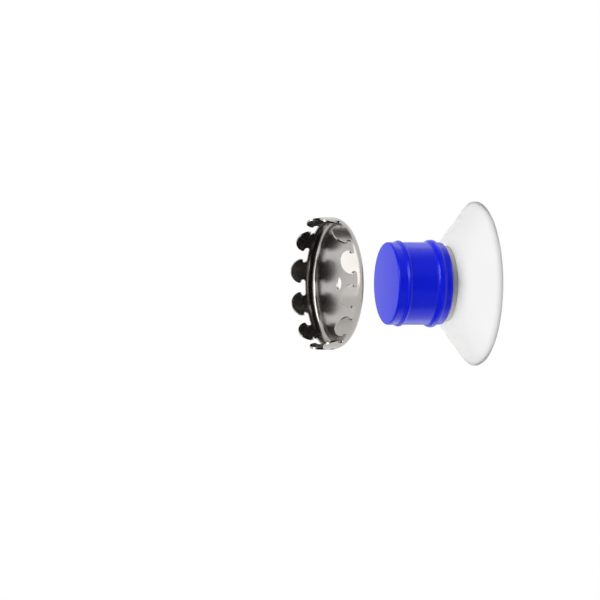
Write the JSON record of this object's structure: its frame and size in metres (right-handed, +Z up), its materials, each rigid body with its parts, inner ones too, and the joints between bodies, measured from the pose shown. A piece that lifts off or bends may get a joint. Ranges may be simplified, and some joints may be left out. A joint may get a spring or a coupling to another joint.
{
  "type": "magnetic soap holder",
  "caption": "Magnetic soap holder: a toothed steel crown that bites into a soap bar, a magnet in a round blue head, and a clear suction cup that holds it on a smooth wall.",
  "frame": {"origin": "centre of the suction cup's mouth, on the plane of the wall", "axes": "+X along the holder's axis into the wall, +Z up, the crown and its teeth towards -X"},
  "size_m": [0.048, 0.045, 0.045],
  "materials": {
    "pressed_steel": "bright pressed stainless sheet",
    "blue_plastic": "glossy moulded",
    "nickel_plate": "bright nickel plate",
    "zinc_steel": "zinc plated",
    "clear_pvc": "clear soft PVC, moulded"
  },
  "bodies": {
    "cup": {"suction_cup": "clear_pvc"},
    "base": {"rear_cap": "blue_plastic"},
    "head": {"magnet_shell": "blue_plastic", "magnet": "nickel_plate", "keeper_plate": "zinc_steel"},
    "crown": {"crown": "pressed_steel"}
  },
  "joints": [
    {"name": "cup_press", "type": "slide", "parent": "cup", "child": "base", "axis": [1, 0, 0], "range_m": [0, 0.0045], "stiffness_N_per_m": 2000, "deforming": ["suction_cup"]},
    {"name": "head_turn", "type": "hinge", "parent": "base", "child": "head", "pos_m": [-0.01495, 0, 0], "axis": [1, 0, 0], "continuous": true},
    {"name": "crown_pull", "type": "hinge", "parent": "head", "child": "crown", "pos_m": [-0.03404, -0.13532, 0], "axis": [0, 0, 1], "range_deg": [-5.5, 5.5]}
  ]
}
